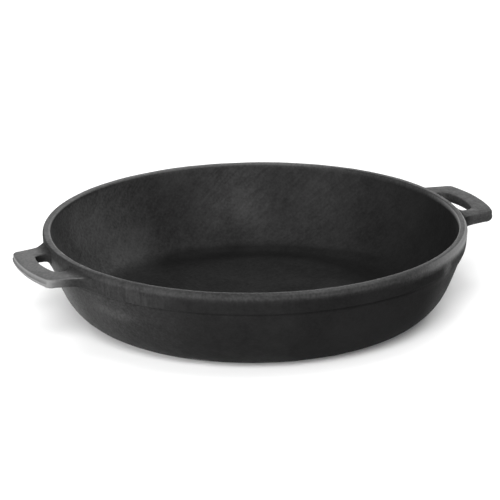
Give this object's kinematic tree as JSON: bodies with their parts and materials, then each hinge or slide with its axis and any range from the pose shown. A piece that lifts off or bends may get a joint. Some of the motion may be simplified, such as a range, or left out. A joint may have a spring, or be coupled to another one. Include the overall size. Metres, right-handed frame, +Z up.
{
  "type": "cast iron roasting pot",
  "caption": "Round, shallow cast iron roasting pot with a flared wall, a thickened rim band and a slotted loop handle on each side.",
  "frame": {"origin": "centre of the flat base, on the surface that the pot stands on", "axes": "+X through both handles towards the right one, +Z up out of the mouth, +Y completes the right-handed frame"},
  "size_m": [0.3666, 0.3118, 0.067],
  "materials": {
    "cast_iron": "sand-cast, baked-on black seasoning, matt with a soft sheen, lighter where edges are ground"
  },
  "bodies": {
    "root": {"pot_body": "cast_iron", "left_handle": "cast_iron", "right_handle": "cast_iron"}
  },
  "joints": []
}
